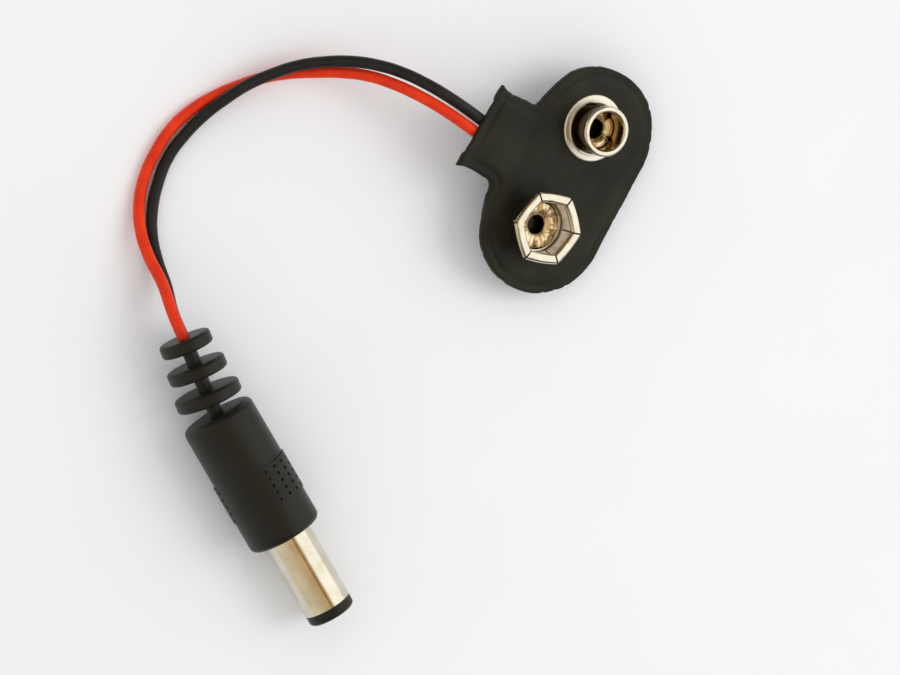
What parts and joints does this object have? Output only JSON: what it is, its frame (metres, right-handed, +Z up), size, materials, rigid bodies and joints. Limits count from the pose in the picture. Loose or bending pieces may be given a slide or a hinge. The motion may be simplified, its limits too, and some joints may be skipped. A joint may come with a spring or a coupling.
{
  "type": "9v battery snap",
  "caption": "Soft-cover 9 V battery snap with a round stud and a petalled socket, on a short red and black lead that ends in a moulded barrel plug.",
  "frame": {"origin": "middle of the snap's box on the floor it lies on, lead and plug left out", "axes": "+Y from the socket to the stud, +Z up from the floor, -X along the wire tab"},
  "size_m": [0.049, 0.0708, 0.0089],
  "materials": {
    "leatherette": "satin",
    "nickel": "polished",
    "eyelet_brass": "polished",
    "fibre_board": "matte",
    "solder": "satin",
    "red_pvc": "satin",
    "black_pvc": "satin",
    "copper": "bright",
    "black_moulding": "satin"
  },
  "bodies": {
    "root": {"front_cover": "leatherette", "rear_cover": "leatherette", "stiffener_board": "fibre_board", "stud_contact": "nickel", "stud_eyelet": "eyelet_brass", "socket_contact": "nickel", "socket_eyelet": "eyelet_brass", "stud_solder": "solder", "socket_solder": "solder", "red_wire": "red_pvc", "red_conductor": "copper", "black_wire": "black_pvc", "black_conductor": "copper", "plug_moulding": "black_moulding", "barrel_sleeve": "nickel", "tip_insulator": "black_moulding", "centre_contact": "nickel", "sleeve_solder": "solder", "centre_solder": "solder"}
  },
  "joints": []
}
